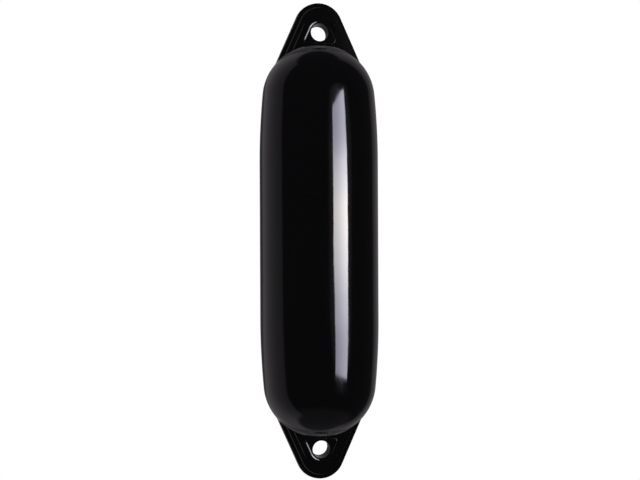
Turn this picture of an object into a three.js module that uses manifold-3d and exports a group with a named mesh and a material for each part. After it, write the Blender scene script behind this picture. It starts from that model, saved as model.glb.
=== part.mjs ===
// Inflatable cylindrical boat fender, one seamless PVC moulding with a stepped eye at each end
// and a screw valve in the back of the upper dome. Millimetres, +Z along the body, eyes in the XZ plane.

import * as THREE from 'three';
import { mergeVertices } from 'three/addons/utils/BufferGeometryUtils.js';
import Module from 'manifold-3d';

// Body
const overallLength = 602;
const bodyDiameter = 150;
const eyeHeight = 55;
const shoulderRadius = 900;
const shoulderDrop = 4.2;
const knuckleOffset = 4.1;
const crownFlattening = 26;

// Eye plate, measured from its mid plane, which is also the mould's parting plane
const tipRadius = 30.7;
const flankAngle = THREE.MathUtils.degToRad(24);
const flangeHalfThickness = 5;
const flangeWidth = 5.8;
const plateauHalfThickness = 8;
const rampInset = 11.9;
const rampRise = 2;
const rampLength = 22;
const footRadius = 8;
const footDepth = 34;
const rootFilletRadius = 6;
const joinDepth = 1.5;
const wallDraft = Math.tan(THREE.MathUtils.degToRad(14));
const edgeRadius = 1.2;

// Eye hole and the raised boss round it
const holeDiameter = 22;
const holeFromTip = 38.8;
const holeLip = 0.6;
const bossWall = 2.7;
const bossHalfThickness = 11;
const bossBelowHole = 13.9;
const bossCornerRadius = 3;
const bossEdgeRadius = 0.7;

// Parting line left by the two mould halves
const partingWidth = 1;
const partingHeight = 0.35;

// Valve seat, moulded into the dome behind the upper eye
const valveTilt = THREE.MathUtils.degToRad(39);
const collarDiameter = 29;
const collarRise = 2.2;
const collarEdgeRadius = 1.6;
const seatDiameter = 21;
const seatDepth = 3;
const bushBarrelDiameter = 13;
const bushFlangeThickness = 1.8;
const bushLength = 16;
const screwHeadDiameter = 14;
const screwHeadThickness = 2.4;
const screwShankDiameter = 7;
const screwShankLength = 11;
const screwPointDiameter = 5;
const screwPointLength = 1.4;
const screwHeadChamfer = 0.5;
const slotWidth = 1.8;
const slotDepth = 1.3;
const sealThickness = 1.2;
const fitGap = 0.3;

// Facets
const turns = 72;
const smallTurns = 36;
const ringTurns = 12;
const chordError = 0.1;
const cornerSteps = 10;
const filletSteps = 4;
const filletRings = 14;

const halfLength = overallLength / 2;
const apexZ = halfLength - eyeHeight;
const tipZ = halfLength - partingHeight - tipRadius;
const holeZ = halfLength - holeFromTip;
const bodyRadius = bodyDiameter / 2;
const holeRadius = holeDiameter / 2;

const wasm = await Module();
wasm.setup();

// Solids from geometries, and geometries from solids

function signedVolume(position, index) {
  const a = new THREE.Vector3();
  const b = new THREE.Vector3();
  const c = new THREE.Vector3();
  let total = 0;
  for (let i = 0; i < index.length; i += 3) {
    a.fromArray(position, 3 * index[i]);
    b.fromArray(position, 3 * index[i + 1]);
    c.fromArray(position, 3 * index[i + 2]);
    total += a.dot(b.cross(c)) / 6;
  }
  return total;
}

function toSolid(geometry) {
  const bare = geometry.clone();
  bare.deleteAttribute('normal');
  bare.deleteAttribute('uv');
  const merged = mergeVertices(bare, 1e-4);
  const position = merged.attributes.position.array;
  const triangles = [];
  const index = merged.index.array;
  for (let i = 0; i < index.length; i += 3) {
    const [a, b, c] = index.slice(i, i + 3);
    if (a !== b && b !== c && c !== a) triangles.push(a, b, c);
  }
  if (signedVolume(position, triangles) < 0) triangles.reverse();
  return new wasm.Manifold(new wasm.Mesh({
    numProp: 3,
    vertProperties: new Float32Array(position),
    triVerts: new Uint32Array(triangles),
  }));
}

function toGeometry(solid) {
  const mesh = solid.getMesh();
  const geometry = new THREE.BufferGeometry();
  geometry.setAttribute('position', new THREE.BufferAttribute(mesh.vertProperties, 3));
  geometry.setIndex(new THREE.BufferAttribute(mesh.triVerts, 1));
  geometry.computeVertexNormals();
  return geometry;
}

// Turned forms: a profile of radius against height, spun round Z

function turned(profile, segments) {
  return new THREE.LatheGeometry(profile, segments).rotateX(Math.PI / 2);
}

function turnedSteps(steps) {
  return turned(steps.map(([radius, height]) => new THREE.Vector2(radius, height)), smallTurns);
}

// Lofted plates: rings of equal point count, joined in order and capped at both ends

function loft(rings) {
  const count = rings[0].length;
  const points = rings.flat();
  const faces = [];
  for (let ring = 0; ring < rings.length - 1; ring += 1) {
    for (let i = 0; i < count; i += 1) {
      const a = ring * count + i;
      const b = ring * count + ((i + 1) % count);
      faces.push(a, b, b + count, a, b + count, a + count);
    }
  }
  for (const start of [0, (rings.length - 1) * count]) {
    const centre = points.length;
    const middle = new THREE.Vector3();
    for (let i = 0; i < count; i += 1) middle.addScaledVector(points[start + i], 1 / count);
    points.push(middle);
    for (let i = 0; i < count; i += 1) {
      const next = (i + 1) % count;
      if (start === 0) faces.push(centre, start + next, start + i);
      else faces.push(centre, start + i, start + next);
    }
  }
  const geometry = new THREE.BufferGeometry().setFromPoints(points);
  geometry.setIndex(faces);
  return geometry;
}

// Outline drawn tight round circles listed anticlockwise as { x, z, radius }, moved inwards by inset
function outlineRound(circles, inset) {
  const normals = circles.map((from, i) => {
    const to = circles[(i + 1) % circles.length];
    const along = Math.atan2(to.z - from.z, to.x - from.x);
    const apart = Math.hypot(to.x - from.x, to.z - from.z);
    return along - Math.acos((from.radius - to.radius) / apart);
  });
  return circles.flatMap((circle, i) => {
    const start = normals[(i + circles.length - 1) % circles.length];
    const sweep = THREE.MathUtils.euclideanModulo(normals[i] - start, 2 * Math.PI);
    return Array.from({ length: cornerSteps + 1 }, (_, step) => {
      const angle = start + (sweep * step) / cornerSteps;
      const radius = circle.radius - inset;
      return new THREE.Vector2(circle.x + radius * Math.cos(angle), circle.z + radius * Math.sin(angle));
    });
  });
}

// Rounded wedge: a round tip and two flanks that spread to a foot with rounded corners
function wedgeCircles(tip, foot) {
  const drop = (tip.z - foot.z) * Math.sin(flankAngle);
  const reach = (tip.radius - foot.radius + drop) / Math.cos(flankAngle);
  return [
    { x: 0, z: tip.z, radius: tip.radius },
    { x: -reach, z: foot.z, radius: foot.radius },
    { x: reach, z: foot.z, radius: foot.radius },
  ];
}

// Plate that is alike on both sides of the mid plane, from layers of { height, inset }
function mirroredPlate(circles, layers) {
  const sides = [
    ...layers.toReversed().map(({ height, inset }) => ({ inset, height: (z) => -height(z) })),
    ...layers,
  ];
  return loft(sides.map(({ height, inset }) => (
    outlineRound(circles, inset).map((point) => new THREE.Vector3(point.x, height(point.y), point.y)))));
}

// Layers of a drafted wall from one level to the next, with a rounded upper edge
function wallLayers(bottom, top, radius) {
  const draft = (level) => (level - bottom) * wallDraft;
  const springing = top - radius;
  const layers = [{ height: () => bottom, inset: draft(bottom) }];
  const edgeSteps = 3;
  for (let step = 0; step <= edgeSteps; step += 1) {
    const turn = (step / edgeSteps) * (Math.PI / 2);
    layers.push({
      height: () => springing + radius * Math.sin(turn),
      inset: draft(springing) + radius * (1 - Math.cos(turn)),
    });
  }
  return layers;
}

// Body of revolution: straight barrel, slightly tapering shoulders, knuckles and flatter crowns

function bodyArcs() {
  const taper = Math.acos(1 - shoulderDrop / shoulderRadius);
  const knuckleRadius = (bodyRadius - shoulderDrop - knuckleOffset) / Math.cos(taper);
  const crownRadius = knuckleRadius + crownFlattening;
  const crownZ = apexZ - crownRadius;
  const knuckleZ = crownZ + Math.sqrt(crownFlattening ** 2 - knuckleOffset ** 2);
  const shoulderZ = knuckleZ - (shoulderRadius - knuckleRadius) * Math.sin(taper);
  return {
    shoulder: { r: bodyRadius - shoulderRadius, z: shoulderZ, radius: shoulderRadius, from: 0, to: taper },
    knuckle: {
      r: knuckleOffset,
      z: knuckleZ,
      radius: knuckleRadius,
      from: taper,
      to: Math.atan2(knuckleZ - crownZ, knuckleOffset),
    },
    crown: {
      r: 0,
      z: crownZ,
      radius: crownRadius,
      from: Math.atan2(knuckleZ - crownZ, knuckleOffset),
      to: Math.PI / 2,
    },
  };
}

// Half outline from the lower pole to the upper one, grown outwards by a margin
function bodyProfile(margin) {
  const { shoulder, knuckle, crown } = bodyArcs();
  const upper = [shoulder, knuckle, crown].flatMap((arc) => {
    const step = 2 * Math.acos(1 - chordError / arc.radius);
    const count = Math.ceil((arc.to - arc.from) / step);
    const radius = arc.radius + margin;
    return Array.from({ length: count }, (_, i) => {
      const angle = arc.from + ((arc.to - arc.from) * i) / count;
      return new THREE.Vector2(arc.r + radius * Math.cos(angle), arc.z + radius * Math.sin(angle));
    });
  });
  upper.push(new THREE.Vector2(0, apexZ + margin));
  const lower = upper.toReversed().map((point) => new THREE.Vector2(point.x, -point.y));
  return [...lower, ...upper];
}

// Eye plate: flange, plateau, a ramp that thickens towards the dome, and the boss round the hole

const eyeFoot = { z: apexZ - footDepth + footRadius, radius: footRadius };

// Outline of the eye plate, moved inwards by inset all the way to the dome
function plateCircles(inset) {
  return wedgeCircles({ z: tipZ, radius: tipRadius - inset }, eyeFoot);
}

function rampHeight(z) {
  return plateauHalfThickness + ((apexZ + rampLength - z) * rampRise) / rampLength;
}

function eyeSolid() {
  const bead = mirroredPlate(plateCircles(-partingHeight), [{ height: () => partingWidth / 2, inset: 0 }]);
  const flange = mirroredPlate(plateCircles(0), wallLayers(0, flangeHalfThickness, edgeRadius));
  const plateau = mirroredPlate(plateCircles(flangeWidth), wallLayers(
    flangeHalfThickness - edgeRadius, plateauHalfThickness, edgeRadius));
  const ramp = mirroredPlate(plateCircles(rampInset), [
    { height: (z) => rampHeight(z) - edgeRadius, inset: 0 },
    { height: rampHeight, inset: edgeRadius },
  ]);

  const bossTip = { z: holeZ, radius: holeRadius + bossWall };
  const bossFoot = { z: holeZ - bossBelowHole + bossCornerRadius, radius: bossCornerRadius };
  const boss = mirroredPlate(wedgeCircles(bossTip, bossFoot), wallLayers(
    plateauHalfThickness - edgeRadius, bossHalfThickness, bossEdgeRadius));

  const fillet = rootFilletGeometry();
  const backFillet = fillet.clone().rotateZ(Math.PI);
  const added = [flange, plateau, ramp, boss, fillet, backFillet].map(toSolid);
  return added.reduce((sum, next) => sum.add(next), toSolid(bead));
}

// Fillet rolled along the corner between the ramp's face and the dome, fading out at the ramp's edges

function rootFilletGeometry() {
  const { knuckle, crown } = bodyArcs();
  const halfWidth = (tipRadius - rampInset + (tipZ - apexZ) * Math.sin(flankAngle)) / Math.cos(flankAngle);

  // Centre of a ball that rests on the dome at a distance from the axis, and the dome's direction there
  const rest = (x, y, ball) => {
    const away = Math.hypot(x, y);
    const onCrown = (crown.radius + ball) * Math.cos(crown.from) > away;
    const arc = onCrown ? crown : knuckle;
    const rise = Math.sqrt((arc.radius + ball) ** 2 - (away - arc.r) ** 2);
    const inwards = new THREE.Vector3(x, y, 0).multiplyScalar((arc.r - away) / away);
    inwards.z = -rise;
    return { centre: new THREE.Vector3(x, y, arc.z + rise), inwards: inwards.normalize() };
  };

  const rings = Array.from({ length: filletRings + 1 }, (_, i) => {
    const share = Math.sin(Math.PI * (i / filletRings - 0.5));
    const x = halfWidth * share;
    const ball = Math.max(rootFilletRadius * (1 - share ** 4), 0.01);
    const near = rest(x, -plateauHalfThickness - ball, ball);
    const { centre, inwards } = rest(x, -rampHeight(near.centre.z) - ball, ball);
    const toFace = new THREE.Vector3(0, 1, 0);
    const arc = Array.from({ length: filletSteps + 1 }, (__, step) => {
      const swing = (step / filletSteps) * (Math.PI / 2);
      const direction = toFace.clone().multiplyScalar(Math.cos(swing));
      return direction.addScaledVector(inwards, Math.sin(swing)).setLength(ball).add(centre);
    });
    const deep = [[0, 1], [1, 1], [1, 0]].map(([face, dome]) => centre.clone()
      .addScaledVector(toFace, face * (ball + joinDepth))
      .addScaledVector(inwards, dome * (ball + joinDepth)));
    return [...arc, ...deep];
  });
  return loft(rings);
}

// Cutter for the eye hole, flared where it meets the faces of the boss
function holeCutter() {
  const lip = new THREE.Path();
  lip.moveTo(0, -bossHalfThickness - 1);
  lip.lineTo(holeRadius + holeLip, -bossHalfThickness - 1);
  lip.absarc(holeRadius + holeLip, -bossHalfThickness + holeLip, holeLip, -Math.PI / 2, -Math.PI, true);
  lip.absarc(holeRadius + holeLip, bossHalfThickness - holeLip, holeLip, Math.PI, Math.PI / 2, true);
  lip.lineTo(holeRadius + holeLip, bossHalfThickness + 1);
  lip.lineTo(0, bossHalfThickness + 1);
  const spool = new THREE.LatheGeometry(lip.getPoints(2), smallTurns);
  return toSolid(spool.translate(0, 0, holeZ));
}

function drilledEye() {
  return eyeSolid().subtract(holeCutter());
}

// Raised line where the mould halves met, drawn as a thin plate a little larger than the outline
function partingSolid() {
  const right = bodyProfile(partingHeight);
  const left = right.slice(1, -1).toReversed().map((point) => new THREE.Vector2(-point.x, point.y));
  const outline = new THREE.Shape([...right, ...left]);
  const band = new THREE.ExtrudeGeometry(outline, { depth: partingWidth, bevelEnabled: false });
  return toSolid(band.translate(0, 0, -partingWidth / 2).rotateX(Math.PI / 2));
}

// Valve, built upright about its own axis with the dome's surface at height 0

const floorHeight = -seatDepth;
const flangeTop = floorHeight + fitGap + bushFlangeThickness;
const sealTop = flangeTop + fitGap + sealThickness;
const headBottom = sealTop + fitGap;
const bushRadius = bushBarrelDiameter / 2;
const screwBore = screwShankDiameter / 2 + fitGap;

function collarGeometry() {
  const outer = collarDiameter / 2;
  const bottom = floorHeight - bushLength;
  const edge = new THREE.Path();
  edge.absarc(outer - collarEdgeRadius, collarRise - collarEdgeRadius, collarEdgeRadius, 0, Math.PI / 2);
  const rounded = edge.getPoints(2).map(({ x, y }) => [x, y]);
  return turnedSteps([[0, bottom], [outer, bottom], ...rounded, [0, collarRise]]);
}

function seatCutter() {
  const seat = seatDiameter / 2;
  const barrel = bushRadius + fitGap;
  const bottom = floorHeight - bushLength - fitGap;
  return turnedSteps([
    [0, bottom], [barrel, bottom], [barrel, floorHeight], [seat, floorHeight],
    [seat, collarRise + 1], [0, collarRise + 1],
  ]);
}

function bushGeometry() {
  const flange = seatDiameter / 2 - fitGap;
  return turnedSteps([
    [screwBore, floorHeight - bushLength + fitGap],
    [bushRadius, floorHeight - bushLength + fitGap],
    [bushRadius, floorHeight + fitGap],
    [flange, floorHeight + fitGap],
    [flange, flangeTop],
    [screwBore, flangeTop],
    [screwBore, floorHeight - bushLength + fitGap],
  ]);
}

function sealGeometry() {
  const middle = (screwBore + screwHeadDiameter / 2) / 2;
  const ring = new THREE.TorusGeometry(middle, sealThickness / 2, ringTurns, smallTurns);
  return ring.translate(0, 0, flangeTop + fitGap + sealThickness / 2);
}

function screwGeometry() {
  const shank = screwShankDiameter / 2;
  const head = screwHeadDiameter / 2;
  const headTop = headBottom + screwHeadThickness;
  const point = headBottom - screwShankLength;
  const plug = toSolid(turnedSteps([
    [0, point], [screwPointDiameter / 2, point], [shank, point + screwPointLength], [shank, headBottom],
    [head, headBottom], [head, headTop - screwHeadChamfer], [head - screwHeadChamfer, headTop], [0, headTop],
  ]));
  const slot = new THREE.BoxGeometry(2 * head + 1, slotWidth, 2 * slotDepth);
  return toGeometry(plug.subtract(toSolid(slot.translate(0, 0, headTop))));
}

// Where the valve's axis leaves the knuckle, square to the dome
const valvePlace = (() => {
  const { knuckle } = bodyArcs();
  const outward = new THREE.Vector3(0, Math.sin(valveTilt), Math.cos(valveTilt));
  const point = outward.clone().multiplyScalar(knuckle.radius);
  point.y += knuckle.r;
  point.z += knuckle.z;
  const turn = new THREE.Quaternion().setFromUnitVectors(new THREE.Vector3(0, 0, 1), outward);
  return new THREE.Matrix4().compose(point, turn, new THREE.Vector3(1, 1, 1));
})();

function bodyNode() {
  const eye = toGeometry(drilledEye());
  const lowerEye = toSolid(eye.clone().rotateX(Math.PI));
  const valveSeat = toSolid(seatCutter().applyMatrix4(valvePlace));
  return toGeometry(toSolid(turned(bodyProfile(0), turns))
    .add(partingSolid())
    .add(toSolid(eye))
    .add(lowerEye)
    .add(toSolid(collarGeometry().applyMatrix4(valvePlace)))
    .subtract(valveSeat));
}

// Materials

const glossyPvc = new THREE.MeshStandardMaterial({ color: 0x0c0c0e, roughness: 0.12, metalness: 0 });
const nylon = new THREE.MeshStandardMaterial({ color: 0x24262a, roughness: 0.4, metalness: 0 });
const softRubber = new THREE.MeshStandardMaterial({ color: 0x141414, roughness: 0.7, metalness: 0 });

function node(name, geometry, material) {
  const mesh = new THREE.Mesh(geometry, material);
  mesh.name = name;
  return mesh;
}

const valve = new THREE.Group();
valve.add(
  node('valve_bush', bushGeometry(), nylon),
  node('valve_seal', sealGeometry(), softRubber),
  node('valve_screw', screwGeometry(), nylon),
);
valve.applyMatrix4(valvePlace);

const fender = new THREE.Group();
fender.add(node('fender_body', bodyNode(), glossyPvc), valve);

export default fender;
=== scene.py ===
"""Glossy black inflatable boat fender, hung upright by its upper eye in a plain white studio."""

import math

import bmesh
import bpy
import numpy as np
from bpy.props import FloatProperty, FloatVectorProperty, IntProperty, PointerProperty, StringProperty
from mathutils import Matrix, Vector
from mathutils.geometry import delaunay_2d_cdt


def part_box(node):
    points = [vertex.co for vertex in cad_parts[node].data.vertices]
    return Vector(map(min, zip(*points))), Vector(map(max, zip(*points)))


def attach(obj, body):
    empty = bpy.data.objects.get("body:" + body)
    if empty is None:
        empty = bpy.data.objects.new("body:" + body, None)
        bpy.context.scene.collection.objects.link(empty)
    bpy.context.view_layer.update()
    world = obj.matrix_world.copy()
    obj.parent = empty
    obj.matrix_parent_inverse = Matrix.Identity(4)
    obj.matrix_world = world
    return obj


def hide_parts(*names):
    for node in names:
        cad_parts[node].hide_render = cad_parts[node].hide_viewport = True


bl_info = {
    "name": "Inflatable fender",
    "version": (1, 0, 0),
    "blender": (4, 5, 0),
    "location": "3D View > Sidebar > Fender",
    "description": "Builds a moulded inflatable boat fender with stepped eyes and a screw valve",
    "category": "Add Mesh",
}

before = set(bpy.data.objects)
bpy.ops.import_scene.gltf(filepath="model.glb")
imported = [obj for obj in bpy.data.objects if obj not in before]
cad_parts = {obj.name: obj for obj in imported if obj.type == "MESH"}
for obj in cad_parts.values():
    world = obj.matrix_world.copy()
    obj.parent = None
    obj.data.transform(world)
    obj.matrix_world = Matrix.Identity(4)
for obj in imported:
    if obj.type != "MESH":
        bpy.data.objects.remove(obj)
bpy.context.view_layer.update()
BODY_LOW, BODY_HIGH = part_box("fender_body")
MM = 0.001

PHOTO_WIDTH = 640
PHOTO_HEIGHT = 480

# The valve leans back from the fender's axis. Its collar and seat are turned shapes, as radius and
# height pairs in millimetres, with the dome's surface at height 0.
VALVE_LEAN = math.radians(39)
VALVE_COLLAR = [(0, -8), (14.5, -8), (14.5, 0), (13.9, 1.3), (13.5, 1.8), (12.9, 2.2), (0, 2.2)]
VALVE_SEAT = [
    (0, -19.3), (6.8, -19.3), (6.8, -3), (10.5, -3), (10.5, 1.7), (11.0, 2.2), (11.2, 3.2), (0, 3.2)]

# Corners of the tall softbox: degrees to the right of the camera, as seen from the fender, and up
STRIP_CORNERS = [
    (30.6, -20.2), (54.5, -20.8), (55.2, 2), (51, 23.9), (39, 22.2), (26.8, 20.4),
    (26.6, -0.5), (28.6, -5.5), (30.2, -11.5)]

# Brightness of the studio's walls: degrees from straight behind the fender, growing to the left
WALL_LEVELS = [
    (-56, 0), (-48, 0.12), (-30, 0.19), (12, 0.18), (32, 0.24), (50, 0.3), (70, 0.24), (88, 0.18),
    (103, 0.14), (107, 0)]


def length(name, description, default_mm):
    """A size that a user would change, in metres, from its value in millimetres."""
    return FloatProperty(
        name=name, description=description, default=default_mm * MM, unit="LENGTH", precision=4)


def angle(name, description, degrees):
    """An angle that a user would change."""
    return FloatProperty(name=name, description=description, default=math.radians(degrees), unit="ROTATION")


class BodySizes(bpy.types.PropertyGroup):
    """Sizes of the inflated body."""

    overall_length: FloatProperty(
        name="Overall length", description="From eye tip to eye tip, with the parting line",
        default=BODY_HIGH.z - BODY_LOW.z, unit="LENGTH", precision=4)
    diameter: FloatProperty(
        name="Diameter", description="Of the straight barrel",
        default=BODY_HIGH.y - BODY_LOW.y, unit="LENGTH", precision=4)
    eye_height: length("Eye height", "How far an eye stands above the dome", 55)
    shoulder_radius: length("Shoulder radius", "Arc that tapers the barrel towards the dome", 900)
    shoulder_drop: length("Shoulder drop", "How much smaller the radius is where the dome starts", 4.2)
    knuckle_offset: length("Knuckle offset", "From the axis to the centre of the dome's flank", 4.1)
    crown_flattening: length("Crown flattening", "How much larger the radius is at the dome's middle", 26)
    parting_height: length("Parting line height", "How proud the mould's parting line stands", 0.35)
    parting_width: length("Parting line width", "Across the mould's parting line", 1.0)
    wave: length("Wave", "Unevenness of the blown wall along the barrel", 0.16)
    wave_end: length("Wave end", "From the middle to where the wall is even again", 200)
    rows: IntProperty(name="Rows", description="Rings along the profile", default=190, min=20)
    columns: IntProperty(name="Columns", description="Facets around the body", default=256, min=24)


class EyeSizes(bpy.types.PropertyGroup):
    """Sizes of the moulded eye at each end."""

    tip_radius: length("Tip radius", "Round end of the eye", 30.7)
    flank_angle: angle("Flank angle", "How far each flank leans from upright", 24)
    flange_half: length("Flange half thickness", "From the middle plane to the flange", 5)
    flange_width: length("Flange width", "Between the outline and the plateau", 5.8)
    plateau_half: length("Plateau half thickness", "From the middle plane to the plateau", 8)
    ramp_inset: length("Ramp inset", "Between the outline and the ramp", 11.9)
    ramp_rise: length("Ramp rise", "Further thickness between the ramp's step and the dome", 0.6)
    ramp_length: length("Ramp length", "From the dome to where the ramp starts", 28)
    ramp_step: length("Ramp step", "Height of the ramp's edge", 2.1)
    ramp_fade: length("Ramp fade", "Over which the ramp's upper end reaches that height", 8)
    foot_depth: length("Foot depth", "How deep the eye runs into the dome", 34)
    foot_radius: length("Foot radius", "Corners of the foot, inside the dome", 8)
    flange_draft: angle("Flange draft", "Lean of the eye's outer wall", 5)
    draft: angle("Draft", "Lean of the walls of the inner steps", 14)
    edge_radius: length("Edge radius", "Rounding of the upper edges", 0.2)
    corner_radius: length("Corner radius", "Rounding of the inner corners", 0.15)
    hole_diameter: length("Hole diameter", "For the line", 22)
    hole_from_tip: length("Hole from tip", "Between the eye's tip and the hole's centre", 38.8)
    hole_lip: length("Hole lip", "Rounding of the hole's rim", 0.2)
    boss_wall: length("Boss wall", "Ring of material round the hole", 2.7)
    boss_half: length("Boss half thickness", "From the middle plane to the boss's rim", 11.5)
    rim_width: length("Rim width", "Raised rim round the boss's shallow dish", 1.2)
    dish_depth: length("Dish depth", "From the boss's rim to the floor round the hole", 0.35)
    dish_slope: length("Dish slope", "Width over which the rim falls to the floor", 1.3)
    boss_below: length("Boss below hole", "From the hole's centre to the boss's straight foot", 13.9)
    boss_corner: length("Boss corner", "Corner radius at the boss's foot", 3)
    boss_edge: length("Boss edge", "Rounding of the boss's upper edge", 0.2)
    root_fillet: length("Root fillet", "Rounding where the eye grows out of the dome", 2.5)


class FinishColours(bpy.types.PropertyGroup):
    """Colours of the finishes, as sRGB hex values."""

    pvc: StringProperty(name="PVC", description="Glossy black PVC", default="#040405")
    nylon: StringProperty(name="Nylon", description="Moulded valve parts", default="#24262A")
    rubber: StringProperty(name="Rubber", description="Valve seal", default="#141414")
    floor: StringProperty(name="Floor", description="Pale studio floor", default="#E6E6E6")


class StageSizes(bpy.types.PropertyGroup):
    """Places of the floor, the softbox and the camera."""

    floor_radius: length("Floor radius", "To the rim, where the floor has faded out", 1400)
    floor_depth: length("Floor depth", "From the fender's middle down to the floor", 750)
    strip_distance: length("Softbox distance", "From the fender's axis to the tall softbox", 1300)
    camera_distance: length("Camera distance", "From the fender's axis", 1360)
    camera_turn: angle(
        "Camera turn", "How far the camera stands to the left of the eye's normal", 9)
    pixels_per_metre: FloatProperty(
        name="Pixels per metre", description="Scale of the photograph at the fender's axis", default=788.8)
    centre_px: FloatVectorProperty(
        name="Centre", description="Where the fender's centre stands in the photograph, in pixels",
        size=2, default=(319.1, 240.9))
    camera_roll: angle("Camera roll", "How far the camera leans to its right", 0.24)


def linear(hex_colour):
    """sRGB hex to linear RGBA."""
    parts = [int(hex_colour[i:i + 2], 16) / 255 for i in (1, 3, 5)]
    return [c / 12.92 if c <= 0.04045 else ((c + 0.055) / 1.055) ** 2.4 for c in parts] + [1.0]


def add_node(tree, kind, settings=None, inputs=None):
    """Adds a node, sets its properties, and fills or links its inputs by name or number."""
    node = tree.nodes.new(kind)
    for key, value in (settings or {}).items():
        setattr(node, key, value)
    for key, value in (inputs or {}).items():
        socket = node.inputs[key]
        if isinstance(value, bpy.types.NodeSocket):
            tree.links.new(value, socket)
        else:
            socket.default_value = value
    return node


def maths(tree, operation, *values):
    """Result of a maths node."""
    node = add_node(tree, "ShaderNodeMath", {"operation": operation}, dict(enumerate(values)))
    return node.outputs[0]


def hypotenuse(tree, across, up):
    """Length of the slope over two sides that stand square to each other."""
    squares = [maths(tree, "POWER", side, 2.0) for side in (across, up)]
    return maths(tree, "SQRT", maths(tree, "ADD", *squares))


def soft_step(tree, value, low, high, start=0.0, stop=1.0):
    """Smooth change from start to stop as a value goes from low to high."""
    node = add_node(tree, "ShaderNodeMapRange", {"interpolation_type": "SMOOTHSTEP"}, {
        "Value": value, "From Min": low, "From Max": high, "To Min": start, "To Max": stop})
    return node.outputs["Result"]


def new_material(name):
    """Material with an empty node tree, and its object coordinates."""
    material = bpy.data.materials.new(name)
    material.use_nodes = True
    tree = material.node_tree
    tree.nodes.clear()
    return material, tree, add_node(tree, "ShaderNodeTexCoord").outputs["Object"]


def arc_points(centre, radius, start, stop, count):
    """Points on an arc about centre, as rows of two numbers."""
    turn = np.linspace(start, stop, count)
    return np.column_stack([centre[0] + radius * np.cos(turn), centre[1] + radius * np.sin(turn)])


class BodyForm:
    """Arcs of the body's profile, and distances to its surface, in millimetres."""

    def __init__(self, sizes):
        self.radius = sizes.diameter / MM / 2
        self.half_length = sizes.overall_length / MM / 2
        self.apex = self.half_length - sizes.eye_height / MM
        drop = sizes.shoulder_drop / MM
        self.shoulder_radius = sizes.shoulder_radius / MM
        self.taper = math.acos(1 - drop / self.shoulder_radius)
        knuckle_r = sizes.knuckle_offset / MM
        flattening = sizes.crown_flattening / MM
        self.knuckle_radius = (self.radius - drop - knuckle_r) / math.cos(self.taper)
        self.crown_radius = self.knuckle_radius + flattening
        self.crown = (0.0, self.apex - self.crown_radius)
        rise = math.sqrt(flattening ** 2 - knuckle_r ** 2)
        self.knuckle = (knuckle_r, self.crown[1] + rise)
        shoulder_z = self.knuckle[1] - (self.shoulder_radius - self.knuckle_radius) * math.sin(self.taper)
        self.shoulder = (self.radius - self.shoulder_radius, shoulder_z)
        self.crown_start = math.atan2(rise, knuckle_r)

    def profile(self):
        """Radius and height from the lower pole to the upper one."""
        half = [
            arc_points(self.shoulder, self.shoulder_radius, 0, self.taper, 170),
            arc_points(self.knuckle, self.knuckle_radius, self.taper, self.crown_start, 180)[1:],
            arc_points(self.crown, self.crown_radius, self.crown_start, math.pi / 2, 40)[1:],
        ]
        upper = np.vstack(half)
        upper[-1, 0] = 0
        return np.vstack([upper[::-1] * (1, -1), upper])

    def distance(self, radius, height):
        """Signed distance from the surface at a radius and a height."""
        height = np.abs(height)

        def to_arc(centre, size):
            return np.hypot(radius - centre[0], height - centre[1]) - size

        turn_crown = np.arctan2(height - self.crown[1], radius)
        turn_knuckle = np.arctan2(height - self.knuckle[1], radius - self.knuckle[0])
        on_crown = turn_crown > self.crown_start
        on_knuckle = ~on_crown & (turn_knuckle > self.taper)
        on_barrel = height < self.shoulder[1]
        far = np.where(on_barrel, radius - self.radius, to_arc(self.shoulder, self.shoulder_radius))
        far = np.where(on_knuckle, to_arc(self.knuckle, self.knuckle_radius), far)
        return np.where(on_crown, to_arc(self.crown, self.crown_radius), far)


def smooth_share(share):
    """Share from 0 to 1 that starts and ends level."""
    return share ** 2 * (3 - 2 * share)


def wall_profile(rise, draft, corner, edge, steps=5):
    """Section of a moulded wall: inner corner arc, straight drafted face and rounded upper edge."""
    steep = math.pi / 2 - draft
    run = (rise - (corner + edge) * (1 - math.cos(steep))) / math.sin(steep)
    points = []
    start = -corner * math.tan(steep / 2)
    if corner > 0:
        for turn in np.linspace(0, steep, steps):
            points.append((start + corner * math.sin(turn), corner * (1 - math.cos(turn))))
    else:
        points.append((0.0, 0.0))
    x, y = points[-1]
    x, y = x + run * math.cos(steep), y + run * math.sin(steep)
    for turn in np.linspace(0, steep, steps):
        points.append((
            x + edge * (math.sin(steep) - math.sin(steep - turn)),
            y + edge * (math.cos(steep - turn) - math.cos(steep))))
    return np.array(points)


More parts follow.
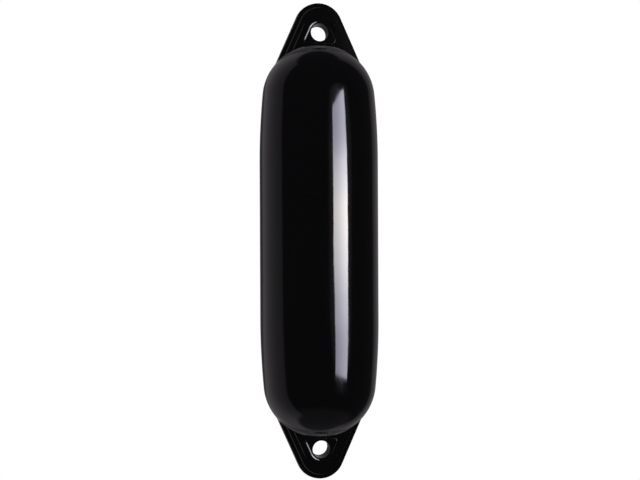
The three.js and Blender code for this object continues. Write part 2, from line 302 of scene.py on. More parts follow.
class RoundOutline:
    """Outline drawn tight round circles that are listed anticlockwise, each as x, z and radius."""

    def __init__(self, circles):
        self.circles = circles
        self.normals = []
        for here, there in zip(circles, circles[1:] + circles[:1]):
            along = math.atan2(there[1] - here[1], there[0] - here[0])
            apart = math.hypot(there[0] - here[0], there[1] - here[1])
            self.normals.append(along - math.acos((here[2] - there[2]) / apart))

    def spans(self):
        """Each circle with the first and last direction of its arc."""
        for i, circle in enumerate(self.circles):
            start = self.normals[i - 1]
            sweep = (self.normals[i] - start) % (2 * math.pi)
            yield circle, start, sweep

    def ring(self, inset, spacing=1.2):
        """Closed loop of points at an inset from the outline."""
        corners = []
        for (x, z, radius), start, sweep in self.spans():
            small = radius - inset
            count = max(3, int(abs(small) * sweep / spacing) + 1)
            corners.append(arc_points((x, z), small, start, start + sweep, count))
        loop = []
        for here, there in zip(corners, corners[1:] + corners[:1]):
            loop.append(here)
            gap = there[0] - here[-1]
            count = int(np.hypot(*gap) / spacing)
            if count > 1:
                loop.append(here[-1] + gap * (np.arange(1, count) / count)[:, None])
        return np.vstack(loop)

    def inset(self, x, z):
        """Distance inwards from the outline, less than nothing outside it."""
        far = np.full(np.shape(x), -np.inf)
        for (cx, cz, radius), normal in zip(self.circles, self.normals):
            far = np.maximum(far, (x - cx) * math.cos(normal) + (z - cz) * math.sin(normal) - radius)
        for (cx, cz, radius), start, sweep in self.spans():
            turn = (np.arctan2(z - cz, x - cx) - start) % (2 * math.pi)
            far = np.where(turn < sweep, np.hypot(x - cx, z - cz) - radius, far)
        return -far


def wedge(tip_z, tip_radius, foot_z, foot_radius, flank):
    """Rounded wedge: a round tip and two flanks that spread to a foot with round corners."""
    drop = (tip_z - foot_z) * math.sin(flank)
    reach = (tip_radius - foot_radius + drop) / math.cos(flank)
    return RoundOutline([
        (0, tip_z, tip_radius), (-reach, foot_z, foot_radius), (reach, foot_z, foot_radius)])


class EyeForm:
    """The stepped eye as a height above its middle plane, in millimetres."""

    def __init__(self, sizes, body, parting_height, parting_width):
        angles = ("flank_angle", "flange_draft", "draft")
        s = {key: getattr(sizes, key) / MM for key in sizes.__annotations__ if key not in angles}
        self.s = s
        self.body = body
        draft = sizes.draft
        tip = body.half_length - parting_height - s["tip_radius"]
        foot = body.apex - s["foot_depth"] + s["foot_radius"]
        self.outline = wedge(tip, s["tip_radius"], foot, s["foot_radius"], sizes.flank_angle)
        self.hole_z = body.half_length - s["hole_from_tip"]
        self.hole_radius = s["hole_diameter"] / 2
        boss_foot = self.hole_z - s["boss_below"] + s["boss_corner"] + s["rim_width"]
        self.boss = wedge(
            self.hole_z, self.hole_radius + s["boss_wall"] + s["rim_width"], boss_foot,
            s["boss_corner"] + s["rim_width"], sizes.flank_angle)

        # Each step is a section: how far in from the outline, and half the thickness there
        wall = wall_profile(s["flange_half"], sizes.flange_draft, 0, s["edge_radius"])
        half = parting_width / 2
        bead = np.array([(-1, 0), (-0.97, 0.45), (-0.75, 0.75), (-0.4, 0.95)])
        bead = np.vstack([bead * (parting_height, half), (0.3 * half, 1.3 * half)])
        self.flange = np.vstack([bead, wall[wall[:, 1] > half * 1.4]])
        step = s["plateau_half"] - s["flange_half"]
        self.plateau = wall_profile(step, draft, s["corner_radius"], s["edge_radius"])
        self.plateau += (s["flange_width"], s["flange_half"])
        # The ramp's edge is a share of its height, which grows towards the dome
        self.ramp_edge = wall_profile(1, draft, 0.1, 0.15) + (s["ramp_inset"], 0)
        rise = s["boss_half"] - s["plateau_half"]
        wall = wall_profile(rise, draft / 2, s["corner_radius"], s["boss_edge"])
        wall += (0, s["plateau_half"])
        rim_flat = 0.15
        fall = np.linspace(0, 1, 9)
        dish = np.column_stack([
            wall[-1, 0] + rim_flat + s["dish_slope"] * fall,
            s["boss_half"] - s["dish_depth"] * smooth_share(fall)])
        self.boss_wall = np.vstack([wall, dish])
        self.hole_half = s["boss_half"] - s["dish_depth"]
        self.ramp_start = body.apex + s["ramp_length"]

    def steps(self, x, z):
        """Inset from the outline, half thickness of flange and plateau, and the ramp's rise on them."""
        inset = self.outline.inset(x, z)
        plateau = np.interp(inset, *self.plateau.T, left=0)
        flange = np.interp(inset, *self.flange.T)
        fall = np.maximum(self.ramp_start - z, 0)
        rise = self.s["ramp_step"] * np.minimum(fall / self.s["ramp_fade"], 1)
        rise += fall * self.s["ramp_rise"] / self.s["ramp_length"]
        return inset, np.maximum(flange, plateau), rise

    def thickness(self, x, z):
        """Half thickness of the eye, before it is blended into the dome."""
        inset, high, rise = self.steps(x, z)
        high = high + rise * np.interp(inset, *self.ramp_edge.T, left=0)
        boss = np.interp(self.boss.inset(x, z), *self.boss_wall.T, left=0)
        high = np.maximum(high, boss)
        past = np.hypot(x, z - self.hole_z) - self.hole_radius
        lip = self.s["hole_lip"]
        drop = lip - np.sqrt(np.clip(lip ** 2 - (lip - past) ** 2, 0, None))
        return np.where((past < lip) & (past > -1e-6), self.hole_half - drop, high)

    def distance(self, x, y, z):
        """Distance to the dome and the eye's main steps, joined by a round root fillet."""
        inset, high, rise = self.steps(x, z)
        edge_width = 3
        share = smooth_share(np.clip((inset - self.s["ramp_inset"]) / edge_width, 0, 1))
        fillet = self.s["root_fillet"]
        to_eye = y - high - rise * share
        to_body = self.body.distance(np.hypot(x, y), z)
        near = np.hypot(np.maximum(fillet - to_eye, 0), np.maximum(fillet - to_body, 0))
        return np.maximum(fillet, np.minimum(to_eye, to_body)) - near

    def blended(self, x, z):
        """Height above the middle plane of the eye and the dome together."""
        past_body = 110.0
        halvings = 48
        low = np.zeros_like(x)
        high = np.full_like(x, past_body)
        for _ in range(halvings):
            middle = (low + high) / 2
            inside = self.distance(x, middle, z) < 0
            low = np.where(inside, middle, low)
            high = np.where(inside, high, middle)
        return np.maximum((low + high) / 2, self.thickness(x, z))


def eye_loops(form):
    """Closed loops of points along every bend of an eye's face, from the outline to the hole."""
    loops = [form.outline.ring(i) for i in form.flange[:, 0]]
    loops += [form.outline.ring(i) for i in form.plateau[:, 0]]
    loops += [form.outline.ring(i) for i in form.ramp_edge[:, 0]]
    loops += [form.boss.ring(i, spacing=0.9) for i in form.boss_wall[:, 0]]
    lip_turns = np.linspace(0, math.pi / 2, 5)
    around = np.linspace(0, 2 * math.pi, 97)[:-1]
    for radius in form.hole_radius + form.s["hole_lip"] * (1 - np.cos(lip_turns)):
        ring = radius * np.column_stack([np.cos(around), np.sin(around)])
        loops.append(ring + (0, form.hole_z))
    return loops


def root_points(form):
    """Rows of points across the root fillet, which runs along the dome at the eye's face."""
    body = form.body
    face = form.s["plateau_half"] + 0.5
    clear_of_outline = 0.2
    points = []
    # From just inside the dome to just past the fillet, on a grid of 1 by 0.5 mm
    for outwards in np.arange(-2.4, form.s["root_fillet"] + 1.2, 0.5):
        for x in np.arange(-60, 60.01, 1.0):
            radius = body.knuckle_radius + outwards
            rise = radius ** 2 - (math.hypot(x, face) - body.knuckle[0]) ** 2
            if rise > 0:
                z = body.knuckle[1] + math.sqrt(rise)
                if form.outline.inset(np.array(x), np.array(z)) > clear_of_outline:
                    points.append((x, z))
    return points


def eye_sheet(form):
    """Flat points of one face of an eye, their heights, triangles, and which are rim or hole."""
    points = []
    edges = []
    for loop in eye_loops(form):
        start = len(points)
        points.extend(map(tuple, loop))
        edges.extend((start + i, start + (i + 1) % len(loop)) for i in range(len(loop)))
    points.extend(root_points(form))
    corner = len(points)
    wide = form.outline.circles[1][0]
    points.extend([(wide, form.ramp_start), (-wide, form.ramp_start)])
    edges.append((corner, corner + 1))

    corners, _, made, *_ = delaunay_2d_cdt([Vector(p) for p in points], edges, [], 0, 1e-5)
    flat = np.array([tuple(corner) for corner in corners])
    triangles = np.array([face for face in made if len(face) == 3])
    middle = flat[triangles].mean(axis=1)
    keep = form.outline.inset(*middle.T) > form.flange[0, 0]
    keep &= np.hypot(middle[:, 0], middle[:, 1] - form.hole_z) > form.hole_radius * 0.999
    used, back = np.unique(triangles[keep], return_inverse=True)
    flat = flat[used]
    triangles = back.reshape(-1, 3)

    x, z = flat.T
    height = form.blended(x, z)
    # Where the face runs along the dome it stays just under the dome's surface
    dome = form.body.distance(np.hypot(x, height), z)
    sunk, near = 0.03, 0.3
    height = height - sunk * np.clip(1 - dome / near, 0, 1)
    height = np.minimum(height, form.thickness(x, z) + form.s["root_fillet"] + 1.5)
    hair = 1e-4
    rim = form.outline.inset(x, z) < form.flange[0, 0] + hair
    height[rim] = 0
    hole = np.hypot(x, z - form.hole_z) < form.hole_radius + hair
    return flat, height, triangles, rim, hole


def eye_mesh(form):
    """Closed mesh of the upper eye: mirrored faces that share their rim, and the hole's wall."""
    flat, height, triangles, rim, hole = eye_sheet(form)
    count = len(flat)
    front = np.column_stack([flat[:, 0], -height, flat[:, 1]])
    back = np.column_stack([flat[:, 0], height, flat[:, 1]])
    other = np.arange(count) + count
    other[rim] = np.nonzero(rim)[0]
    faces = [tuple(t) for t in triangles]
    faces += [tuple(other[t][::-1]) for t in triangles]
    ring = np.nonzero(hole)[0]
    turn = np.arctan2(flat[ring, 1] - form.hole_z, flat[ring, 0])
    ring = ring[np.argsort(turn)]
    for here, there in zip(ring, np.roll(ring, -1)):
        faces.append((here, there, other[there], other[here]))
    return np.vstack([front, back]), faces


def mesh_object(name, points, faces):
    """Object at the origin from points in millimetres, with its normals outwards."""
    mesh = bpy.data.meshes.new(name)
    corners = [tuple(p) for p in np.asarray(points) * MM]
    mesh.from_pydata(corners, [], [tuple(map(int, face)) for face in faces])
    mesh.validate()
    obj = bpy.data.objects.new(name, mesh)
    bpy.context.scene.collection.objects.link(obj)
    tidy_mesh(mesh)
    return obj


def tidy_mesh(mesh, merge=1e-7):
    """Merges doubles, drops loose points and turns every face outwards."""
    work = bmesh.new()
    work.from_mesh(mesh)
    bmesh.ops.remove_doubles(work, verts=work.verts, dist=merge)
    loose = [v for v in work.verts if not v.link_faces]
    bmesh.ops.delete(work, geom=loose, context="VERTS")
    bmesh.ops.recalc_face_normals(work, faces=work.faces)
    work.to_mesh(mesh)
    work.free()


def bake(obj):
    """Replaces an object's mesh by its evaluated one, and clears its modifiers."""
    graph = bpy.context.evaluated_depsgraph_get()
    mesh = bpy.data.meshes.new_from_object(obj.evaluated_get(graph))
    obj.modifiers.clear()
    obj.data = mesh


def revolve_tree(material):
    """Geometry nodes that spin a profile curve into the inflated body."""
    tree = bpy.data.node_groups.new("fender_revolve", "GeometryNodeTree")
    face = tree.interface
    face.new_socket("Profile", in_out="INPUT", socket_type="NodeSocketGeometry")
    for name, kind in (
            ("Rows", "NodeSocketInt"), ("Columns", "NodeSocketInt"), ("Parting height", "NodeSocketFloat"),
            ("Parting half width", "NodeSocketFloat"), ("Wave", "NodeSocketFloat"),
            ("Wave end", "NodeSocketFloat")):
        face.new_socket(name, in_out="INPUT", socket_type=kind)
    face.new_socket("Body", in_out="OUTPUT", socket_type="NodeSocketGeometry")

    given = add_node(tree, "NodeGroupInput").outputs
    grid = add_node(tree, "GeometryNodeMeshGrid", None, {
        "Size X": 1.0, "Size Y": 1.0, "Vertices X": given["Rows"], "Vertices Y": given["Columns"]})
    place = add_node(tree, "ShaderNodeSeparateXYZ", None, {
        0: add_node(tree, "GeometryNodeInputPosition").outputs[0]})
    along = maths(tree, "ADD", place.outputs["X"], 0.5)
    around = maths(tree, "MULTIPLY", maths(tree, "ADD", place.outputs["Y"], 0.5), 2 * math.pi)
    # Columns crowd towards the parting line, which is only 1 mm wide
    crowd = maths(tree, "MULTIPLY", maths(tree, "SINE", maths(tree, "MULTIPLY", around, 2.0)), 0.45)
    turn = maths(tree, "SUBTRACT", around, crowd)
    across = maths(tree, "COSINE", turn)
    deep = maths(tree, "SINE", turn)
    sample = add_node(tree, "GeometryNodeSampleCurve", {"mode": "FACTOR"}, {
        "Curves": given["Profile"], "Factor": along})
    spot = add_node(tree, "ShaderNodeSeparateXYZ", None, {0: sample.outputs["Position"]})
    radius = spot.outputs["X"]
    height = spot.outputs["Z"]

    # The parting line stands proud on the plane through the eyes
    depth = maths(tree, "ABSOLUTE", maths(tree, "MULTIPLY", radius, deep))
    share = maths(tree, "DIVIDE", depth, given["Parting half width"])
    bead = soft_step(tree, share, 0.6, 1.3, 1.0, 0.0)
    proud = maths(tree, "MULTIPLY", bead, given["Parting height"])

    # The blown wall gives way inwards in waves some 60 mm long, which fade towards the domes
    barrel = 75 * MM
    waves = add_node(tree, "ShaderNodeCombineXYZ", None, {
        "X": maths(tree, "MULTIPLY", across, barrel), "Y": maths(tree, "MULTIPLY", deep, barrel),
        "Z": height})
    noise = add_node(tree, "ShaderNodeTexNoise", None, {
        "Vector": waves.outputs[0], "Scale": 16.0, "Detail": 1.0, "Roughness": 0.4})
    fade_start = maths(tree, "MULTIPLY", given["Wave end"], 0.75)
    fade = soft_step(tree, maths(tree, "ABSOLUTE", height), fade_start, given["Wave end"], 1.0, 0.0)
    uneven = maths(tree, "MULTIPLY", maths(tree, "SUBTRACT", noise.outputs[0], 1.0), given["Wave"])
    uneven = maths(tree, "MULTIPLY", uneven, fade)

    outer = maths(tree, "ADD", maths(tree, "ADD", radius, uneven), proud)
    keep_pole = maths(tree, "GREATER_THAN", radius, 1e-6)
    outer = maths(tree, "MULTIPLY", outer, keep_pole)
    position = add_node(tree, "ShaderNodeCombineXYZ", None, {
        "X": maths(tree, "MULTIPLY", outer, across), "Y": maths(tree, "MULTIPLY", outer, deep),
        "Z": height})
    moved = add_node(tree, "GeometryNodeSetPosition", None, {
        "Geometry": grid.outputs["Mesh"], "Position": position.outputs[0]})
    merged = add_node(tree, "GeometryNodeMergeByDistance", None, {
        "Geometry": moved.outputs[0], "Distance": 1e-6})
    smooth = add_node(tree, "GeometryNodeSetShadeSmooth", None, {"Geometry": merged.outputs[0]})
    real = add_node(tree, "GeometryNodeRealizeInstances", None, {"Geometry": smooth.outputs[0]})
    painted = add_node(tree, "GeometryNodeSetMaterial", None, {
        "Geometry": real.outputs[0], "Material": material})
    add_node(tree, "NodeGroupOutput", None, {0: painted.outputs[0]})
    return tree


def set_inputs(modifier, values):
    """Fills a geometry nodes modifier's inputs by the socket's identifier."""
    for socket in modifier.node_group.interface.items_tree:
        if socket.in_out == "INPUT" and socket.name in values:
            modifier[socket.identifier] = values[socket.name]


def profile_curve(name, points):
    """Poly curve in the XZ plane from radius and height in millimetres."""
    curve = bpy.data.curves.new(name, "CURVE")
    curve.dimensions = "3D"
    spline = curve.splines.new("POLY")
    spline.points.add(len(points) - 1)
    for spot, (radius, height) in zip(spline.points, points):
        spot.co = (radius * MM, 0, height * MM, 1)
    obj = bpy.data.objects.new(name, curve)
    bpy.context.scene.collection.objects.link(obj)
    return obj


def turned_object(name, steps, place, segments=96):
    """Solid spun from radius and height pairs in millimetres about an axis, set at a place."""
    points = []
    faces = []
    rings = []
    for radius, height in steps:
        if radius < 1e-6:
            rings.append([len(points)])
            points.append((0, 0, height))
        else:
            rings.append(list(range(len(points), len(points) + segments)))
            turn = np.arange(segments) * 2 * math.pi / segments
            points.extend(zip(radius * np.cos(turn), radius * np.sin(turn), [height] * segments))
    for low, high in zip(rings, rings[1:]):
        for i in range(segments):
            j = (i + 1) % segments
            quad = [low[i % len(low)], low[j % len(low)], high[j % len(high)], high[i % len(high)]]
            face = list(dict.fromkeys(quad))
            if len(face) > 2:
                faces.append(face)
    obj = mesh_object(name, points, faces)
    obj.data.transform(place)
    return obj


def cut(obj, other, operation):
    """Joins or cuts one closed mesh by another, and removes the other."""
    step = obj.modifiers.new(operation, "BOOLEAN")
    step.operation = operation
    step.solver = "EXACT"
    step.object = other
    bake(obj)
    bpy.data.objects.remove(other)


def smooth_roots(obj, form):
    """Takes the normals of the root fillets from the form itself, which is smoother than its facets."""
    mesh = obj.data
    spots = np.empty(len(mesh.vertices) * 3)
    mesh.vertices.foreach_get("co", spots)
    spots = spots.reshape(-1, 3) / MM
    # The form is that of the upper eye's back, which the other three faces mirror
    sides = np.where(spots < 0, -1, 1) * (0, 1, 1) + (1, 0, 0)
    spots = spots * sides
    reach = form.s["root_fillet"]
    x, y, z = spots.T
    inset, high, _ = form.steps(x, z)
    to_body = form.body.distance(np.hypot(x, y), z)
    # Only points on the fillet's own surface, inside the flange and near the dome
    zone = (z > form.body.apex - 40) & (inset > form.s["flange_width"] + 1.2)
    zone &= np.abs(form.distance(x, y, z)) < 0.04
    zone &= (to_body < reach) & (y - high < reach + 2) & (to_body > -0.05)
    slope = np.empty_like(spots)
    for axis, step in enumerate(np.eye(3) * 0.05):
        slope[:, axis] = form.distance(*(spots + step).T) - form.distance(*(spots - step).T)
    slope *= sides
    slope /= np.maximum(np.linalg.norm(slope, axis=1), 1e-9)[:, None]
    corners = np.empty(len(mesh.loops), dtype=np.int32)
    mesh.loops.foreach_get("vertex_index", corners)
    normals = np.empty(len(mesh.loops) * 3)
    mesh.corner_normals.foreach_get("vector", normals)
    normals = np.where(zone[corners][:, None], slope[corners], normals.reshape(-1, 3))
    mesh.normals_split_custom_set(normals.tolist())


def paint(obj, material):
    """Gives every face of an object one material."""
    obj.data.materials.clear()
    obj.data.materials.append(material)
    faces = obj.data.polygons
    faces.foreach_set("material_index", np.zeros(len(faces), dtype=np.int32))


def shade(obj):
    """Smooth shading that follows the larger faces, so that flats stay flat beside round edges."""
    faces = obj.data.polygons
    faces.foreach_set("use_smooth", np.ones(len(faces), dtype=bool))
    weigh = obj.modifiers.new("flats", "WEIGHTED_NORMAL")
    weigh.mode = "FACE_AREA"
    weigh.weight = 100
    weigh.thresh = 0.01
    bake(obj)


def glossy_pvc(colour, hole_height, hole_radius):
    """Plasticised PVC, blown against a polished mould: black through and through, with a wet gloss."""
    material, tree, where = new_material("glossy_black_pvc")
    # The mould's polish runs along the body and leaves faint streaks about 6 mm apart
    along = add_node(tree, "ShaderNodeMapping", None, {"Vector": where, "Scale": (1.0, 1.0, 0.06)})
    streaks = add_node(tree, "ShaderNodeTexNoise", None, {
        "Vector": along.outputs[0], "Scale": 160.0, "Detail": 3.0, "Roughness": 0.55})
    gloss = add_node(tree, "ShaderNodeMapRange", None, {
        "Value": streaks.outputs[0], "From Min": 0.3, "From Max": 0.7, "To Min": 0.05, "To Max": 0.09})
    # Plasticised PVC shrinks a little unevenly as it cools, in shallow swells some 30 mm across
    swell = add_node(tree, "ShaderNodeTexNoise", None, {
        "Vector": where, "Scale": 34.0, "Detail": 1.0, "Roughness": 0.4})
    relief = add_node(tree, "ShaderNodeBump", None, {
        "Height": swell.outputs[0], "Strength": 1.0, "Distance": 0.00012})
    fine = add_node(tree, "ShaderNodeBump", None, {
        "Height": streaks.outputs[0], "Normal": relief.outputs[0], "Strength": 1.0, "Distance": 0.000004})
    # The pins that form the eyes' holes aren't polished, so the holes' walls are dull
    split = add_node(tree, "ShaderNodeSeparateXYZ", None, {0: where}).outputs
    up = maths(tree, "SUBTRACT", maths(tree, "ABSOLUTE", split["Z"]), hole_height)
    away = hypotenuse(tree, split["X"], up)
    face = hole_radius + 0.3 * MM
    rough = add_node(tree, "ShaderNodeMix", {"data_type": "FLOAT"}, {
        "Factor": soft_step(tree, away, hole_radius, face), "A": 0.35, "B": gloss.outputs[0]})
    skin = add_node(tree, "ShaderNodeBsdfPrincipled", None, {
        "Base Color": linear(colour), "Roughness": rough.outputs[0], "IOR": 1.53,
        "Specular IOR Level": soft_step(tree, away, hole_radius, face, 0.35, 0.5),
        "Normal": fine.outputs[0]})
    add_node(tree, "ShaderNodeOutputMaterial", None, {"Surface": skin.outputs[0]})
    return material


def moulded_plastic(name, colour, rough, grain_mm):
    """Plain moulded plastic or rubber with a fine grain."""
    material, tree, where = new_material(name)
    grain = add_node(tree, "ShaderNodeTexNoise", None, {
        "Vector": where, "Scale": 1 / (grain_mm * MM), "Detail": 2.0})
    spread = add_node(tree, "ShaderNodeMapRange", None, {
        "Value": grain.outputs[0], "To Min": rough - 0.06, "To Max": rough + 0.06})
    relief = add_node(tree, "ShaderNodeBump", None, {
        "Height": grain.outputs[0], "Strength": 1.0, "Distance": 0.00002})
    skin = add_node(tree, "ShaderNodeBsdfPrincipled", None, {
        "Base Color": linear(colour), "Roughness": spread.outputs[0], "Normal": relief.outputs[0]})
    add_node(tree, "ShaderNodeOutputMaterial", None, {"Surface": skin.outputs[0]})
    return material


def pale_floor(colour, radius):
    """Matt studio floor that fades out at its rim."""
    material, tree, where = new_material("pale_floor")
    away = add_node(tree, "ShaderNodeVectorMath", {"operation": "LENGTH"}, {0: where}).outputs["Value"]
    matt = add_node(tree, "ShaderNodeBsdfDiffuse", None, {"Color": linear(colour)})
    clear = add_node(tree, "ShaderNodeBsdfTransparent")
    mix = add_node(tree, "ShaderNodeMixShader", None, {
        0: soft_step(tree, away, radius - 0.5, radius - 0.02),
        1: matt.outputs[0], 2: clear.outputs[0]})
    add_node(tree, "ShaderNodeOutputMaterial", None, {"Surface": mix.outputs[0]})
    return material


def valve_place(body):
    """Where the valve's axis leaves the dome, square to it, as a matrix in metres."""
    outward = Vector((0, math.sin(VALVE_LEAN), math.cos(VALVE_LEAN)))
    point = outward * body.knuckle_radius + Vector((0, body.knuckle[0], body.knuckle[1]))
    turn = Vector((0, 0, 1)).rotation_difference(outward)
    return Matrix.Translation(point * MM) @ turn.to_matrix().to_4x4()


def spun_skin(body, sizes, material):
    """The inflated body without its eyes, baked from the nodes that spin its profile."""
    curve = profile_curve("fender_skin_profile", body.profile())
    spin = curve.modifiers.new("revolve", "NODES")
    spin.node_group = revolve_tree(material)
    set_inputs(spin, {
        "Rows": sizes.rows, "Columns": sizes.columns + 1, "Parting height": sizes.parting_height,
        "Parting half width": sizes.parting_width / 2, "Wave": sizes.wave,
        "Wave end": sizes.wave_end})
    graph = bpy.context.evaluated_depsgraph_get()
    mesh = bpy.data.meshes.new_from_object(curve.evaluated_get(graph))
    bpy.data.objects.remove(curve)
    obj = bpy.data.objects.new("fender_skin", mesh)
    bpy.context.scene.collection.objects.link(obj)
    tidy_mesh(mesh)
    return obj


class FENDER_OT_body(bpy.types.Operator):
    """Build the moulded body with its eyes and valve seat"""

    bl_idname = "fender.body"
    bl_label = "Moulded body"

    def execute(self, context):
        scene = context.scene
        sizes = scene.fender_body
        body = BodyForm(sizes)
        eye = scene.fender_eye
        pvc = glossy_pvc(
            scene.fender_finish.pvc, body.half_length * MM - eye.hole_from_tip, eye.hole_diameter / 2)
        obj = spun_skin(body, sizes, pvc)

        form = EyeForm(eye, body, sizes.parting_height / MM, sizes.parting_width / MM)
        points, faces = eye_mesh(form)
        upper = mesh_object("upper_eye", points, faces)
        lower = mesh_object("lower_eye", points * (1, 1, -1), faces)
        cut(obj, upper, "UNION")
        cut(obj, lower, "UNION")

        place = valve_place(body)
        cut(obj, turned_object("collar", VALVE_COLLAR, place), "UNION")
        cut(obj, turned_object("seat", VALVE_SEAT, place), "DIFFERENCE")
        tidy_mesh(obj.data, 1e-6)
        shade(obj)
        smooth_roots(obj, form)
        paint(obj, pvc)
        fewest_faces = 1000
        if len(obj.data.polygons) < fewest_faces:
            raise RuntimeError("the eyes or the valve's seat emptied the body's mesh")
        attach(obj, "root")
        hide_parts("fender_body")
        return {"FINISHED"}


class FENDER_OT_valve(bpy.types.Operator):
    """Finish the valve's bush, seal and screw"""

    bl_idname = "fender.valve"
    bl_label = "Valve"

    def execute(self, context):
        colours = context.scene.fender_finish
        nylon = moulded_plastic("moulded_nylon", colours.nylon, 0.38, 0.6)
        rubber = moulded_plastic("seal_rubber", colours.rubber, 0.65, 0.4)
        for node, finish in (("valve_bush", nylon), ("valve_screw", nylon), ("valve_seal", rubber)):
            paint(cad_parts[node], finish)
        return {"FINISHED"}


def strip_light(turn, distance):
    """Tall bright softbox to the camera's right, seen by gloss only."""
    points = []
    for azimuth, elevation in STRIP_CORNERS:
        a, e = turn + math.radians(azimuth), math.radians(elevation)
        points.append((distance * math.sin(a), -distance * math.cos(a), distance * math.tan(e)))
    mesh = bpy.data.meshes.new("strip_light")
    mesh.from_pydata(points, [], [list(range(len(points)))])
    obj = bpy.data.objects.new("strip_light", mesh)
    bpy.context.scene.collection.objects.link(obj)
    material, tree, where = new_material("softbox_cloth")
    split = add_node(tree, "ShaderNodeSeparateXYZ", None, {0: where}).outputs
    # Its tube glows brightest a little above the middle, and the cloth is bluer away from it
    spread = soft_step(tree, split["Z"], 0.0, 0.12, 0.2, 0.15)
    off = maths(tree, "DIVIDE", maths(tree, "SUBTRACT", split["Z"], 0.06), spread)
    peak = maths(tree, "EXPONENT", maths(tree, "MULTIPLY", maths(tree, "POWER", off, 2.0), -1.0))
    base = soft_step(tree, split["Z"], 0.0, 0.3, 0.6, 0.72)
    level = maths(tree, "MULTIPLY_ADD", peak, 0.85, base)
    level = maths(tree, "MULTIPLY", level, soft_step(tree, split["X"], 0.4, 1.0, 8.0, 14.5))
    tone = add_node(tree, "ShaderNodeMix", {"data_type": "RGBA"}, {
        "Factor": peak, "A": (0.97, 0.95, 1.16, 1), "B": (1.03, 0.99, 0.99, 1)})
    glow = add_node(tree, "ShaderNodeEmission", None, {"Color": tone.outputs["Result"], "Strength": level})
    add_node(tree, "ShaderNodeOutputMaterial", None, {"Surface": glow.outputs[0]})
    paint(obj, material)
    obj.visible_camera = False
    obj.visible_diffuse = False
    obj.visible_shadow = False


def studio_walls(tree, turn):
    """Brightness of the dim studio round the object by direction, as its gloss shows it."""
    outwards = add_node(tree, "ShaderNodeTexCoord").outputs["Generated"]
    facing = add_node(tree, "ShaderNodeVectorRotate", {"rotation_type": "Z_AXIS"}, {
        "Vector": outwards, "Angle": -turn})
    split = add_node(tree, "ShaderNodeSeparateXYZ", None, {0: facing.outputs[0]}).outputs
    # Angle from straight behind, growing to the camera's left, and elevation
    behind = maths(tree, "ARCTAN2", maths(tree, "MULTIPLY", split["X"], -1.0), split["Y"])
    height = maths(tree, "ARCSINE", split["Z"])

    # Pale walls behind and to the left, brightest where the lamps fall on them
    leaning = maths(tree, "ADD", behind, maths(tree, "MULTIPLY", height, 0.18))
    ramp = add_node(tree, "ShaderNodeValToRGB", None, {
        "Fac": maths(tree, "ADD", maths(tree, "DIVIDE", leaning, 2 * math.pi), 0.5)})
    bar = ramp.color_ramp
    bar.elements.remove(bar.elements[0])
    bar.elements[0].position = 1
    bar.elements[0].color = (0, 0, 0, 1)
    for degrees, level in WALL_LEVELS:
        bar.elements.new(degrees / 360 + 0.5).color = (level, level, level, 1)
    upright = soft_step(tree, maths(tree, "ABSOLUTE", height), 1.0, 1.15, 1.0, 0.0)
    walls = maths(tree, "MULTIPLY", ramp.outputs["Color"], upright)

    # Dark doorway in the back wall
    off_across = maths(tree, "DIVIDE", maths(tree, "SUBTRACT", behind, 0.3), 0.42)
    off = hypotenuse(tree, off_across, maths(tree, "DIVIDE", height, 0.3))
    walls = maths(tree, "MULTIPLY", walls, soft_step(tree, off, 0.7, 1.1, 0.2, 1.0))

    # Table below, and stray light in an oval round the softbox
    table = soft_step(tree, height, -0.75, -1.0, 0.0, 0.05)
    round_across = maths(tree, "DIVIDE", maths(tree, "ADD", behind, 2.41), 0.45)
    round_up = maths(tree, "DIVIDE", maths(tree, "SUBTRACT", height, 0.08), 0.42)
    near = hypotenuse(tree, round_across, round_up)
    stray = soft_step(tree, near, 0.75, 1.0, 0.12, 0.0)
    dimmest = 0.03
    total = maths(tree, "ADD", maths(tree, "ADD", walls, table), maths(tree, "ADD", stray, dimmest))

    # White backdrop straight behind the object
    backdrop = soft_step(tree, split["Y"], 0.985, 0.995)
    return maths(tree, "MAXIMUM", total, backdrop)


def studio_world(turn):
    """World that is white to the camera, even to matt surfaces and a dim studio to glossy ones."""
    world = bpy.data.worlds.new("studio")
    world.use_nodes = True
    tree = world.node_tree
    tree.nodes.clear()

    def choose(factor, low, high):
        return add_node(tree, "ShaderNodeMix", {"data_type": "FLOAT"}, {
            "Factor": factor, "A": low, "B": high}).outputs[0]

    ray = add_node(tree, "ShaderNodeLightPath").outputs
    # What shows in a reflection of a reflection comes from the lit front of the studio
    again = maths(tree, "GREATER_THAN", ray["Ray Depth"], 2.5)
    room = choose(again, studio_walls(tree, turn), 2.0)
    plain = maths(tree, "MAXIMUM", ray["Is Camera Ray"], ray["Is Transmission Ray"])
    seen = choose(plain, choose(ray["Is Glossy Ray"], 0.8, room), 1.0)
    tint = add_node(tree, "ShaderNodeMix", {"data_type": "RGBA"}, {
        "Factor": ray["Is Glossy Ray"], "A": (1, 1, 1, 1), "B": (1.04, 0.95, 1.03, 1)})
    sky = add_node(tree, "ShaderNodeBackground", None, {
        "Color": tint.outputs["Result"], "Strength": seen})
    add_node(tree, "ShaderNodeOutputWorld", None, {"Surface": sky.outputs[0]})
    return world


def key_light():
    """Broad soft lamp above the camera's left shoulder, for matt surfaces only."""
    lamp = bpy.data.lights.new("key", "AREA")
    lamp.shape = "DISK"
    lamp.size = 1.2
    lamp.energy = 12
    key = bpy.data.objects.new("key", lamp)
    key.location = (-0.8, -1.2, 1.8)
    key.rotation_mode = "QUATERNION"
    key.rotation_quaternion = (-key.location).to_track_quat("-Z", "Y")
    key.visible_glossy = False
    bpy.context.scene.collection.objects.link(key)


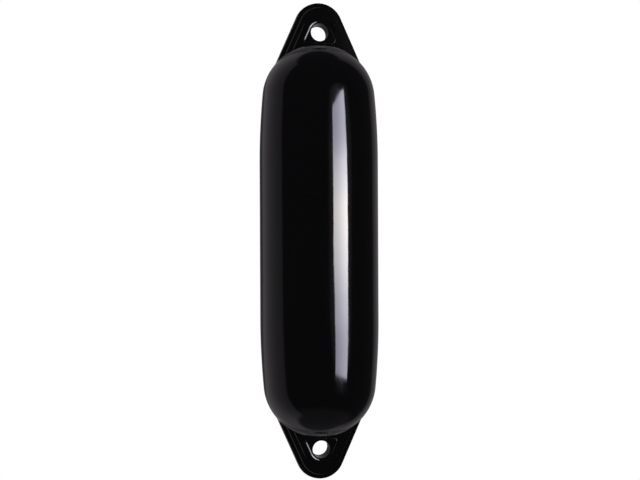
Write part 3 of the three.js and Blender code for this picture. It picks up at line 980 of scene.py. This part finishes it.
def photo_camera(view):
    """Camera at the photograph's angle, distance and scale."""
    turn = view.camera_turn
    camera = bpy.data.cameras.new("camera")
    camera.sensor_width = 36
    lens_px = view.pixels_per_metre * view.camera_distance
    camera.lens = lens_px / PHOTO_WIDTH * camera.sensor_width
    camera.shift_x = (PHOTO_WIDTH / 2 - view.centre_px[0]) / PHOTO_WIDTH
    camera.shift_y = (view.centre_px[1] - PHOTO_HEIGHT / 2) / PHOTO_WIDTH
    eye = bpy.data.objects.new("camera", camera)
    eye.location = (
        -view.camera_distance * math.sin(turn), -view.camera_distance * math.cos(turn), 0)
    eye.rotation_euler = (math.pi / 2, view.camera_roll, -turn)
    bpy.context.scene.collection.objects.link(eye)
    bpy.context.scene.camera = eye


class FENDER_OT_stage(bpy.types.Operator):
    """Set the floor, the lights, the surroundings and the camera"""

    bl_idname = "fender.stage"
    bl_label = "Stage"

    def execute(self, context):
        scene = context.scene
        scene.view_settings.view_transform = "Standard"
        view = scene.fender_stage
        strip_light(-view.camera_turn, view.strip_distance)
        scene.world = studio_world(-view.camera_turn)

        radius = view.floor_radius
        bpy.ops.mesh.primitive_circle_add(
            vertices=96, radius=radius, fill_type="NGON", location=(0, 0, -view.floor_depth))
        floor = context.object
        floor.name = "floor"
        floor.visible_glossy = False
        paint(floor, pale_floor(scene.fender_finish.floor, radius))

        key_light()
        photo_camera(view)
        return {"FINISHED"}


class FENDER_PT_panel(bpy.types.Panel):
    """Lists the steps that build the fender"""

    bl_idname = "FENDER_PT_panel"
    bl_label = "Inflatable fender"
    bl_space_type = "VIEW_3D"
    bl_region_type = "UI"
    bl_category = "Fender"

    def draw(self, context):
        for operator in OPERATORS:
            self.layout.operator(operator.bl_idname)


OPERATORS = (FENDER_OT_body, FENDER_OT_valve, FENDER_OT_stage)
GROUPS = {
    "fender_body": BodySizes,
    "fender_eye": EyeSizes,
    "fender_finish": FinishColours,
    "fender_stage": StageSizes,
}


def register():
    for group in GROUPS.values():
        bpy.utils.register_class(group)
    for name, group in GROUPS.items():
        setattr(bpy.types.Scene, name, PointerProperty(type=group))
    for operator in OPERATORS:
        bpy.utils.register_class(operator)
    bpy.utils.register_class(FENDER_PT_panel)


def unregister():
    bpy.utils.unregister_class(FENDER_PT_panel)
    for operator in reversed(OPERATORS):
        bpy.utils.unregister_class(operator)
    for name in reversed(GROUPS):
        delattr(bpy.types.Scene, name)
    for group in reversed(list(GROUPS.values())):
        bpy.utils.unregister_class(group)


def main():
    register()
    bpy.ops.fender.stage()
    bpy.ops.fender.body()
    bpy.ops.fender.valve()


if __name__ == "__main__":
    main()
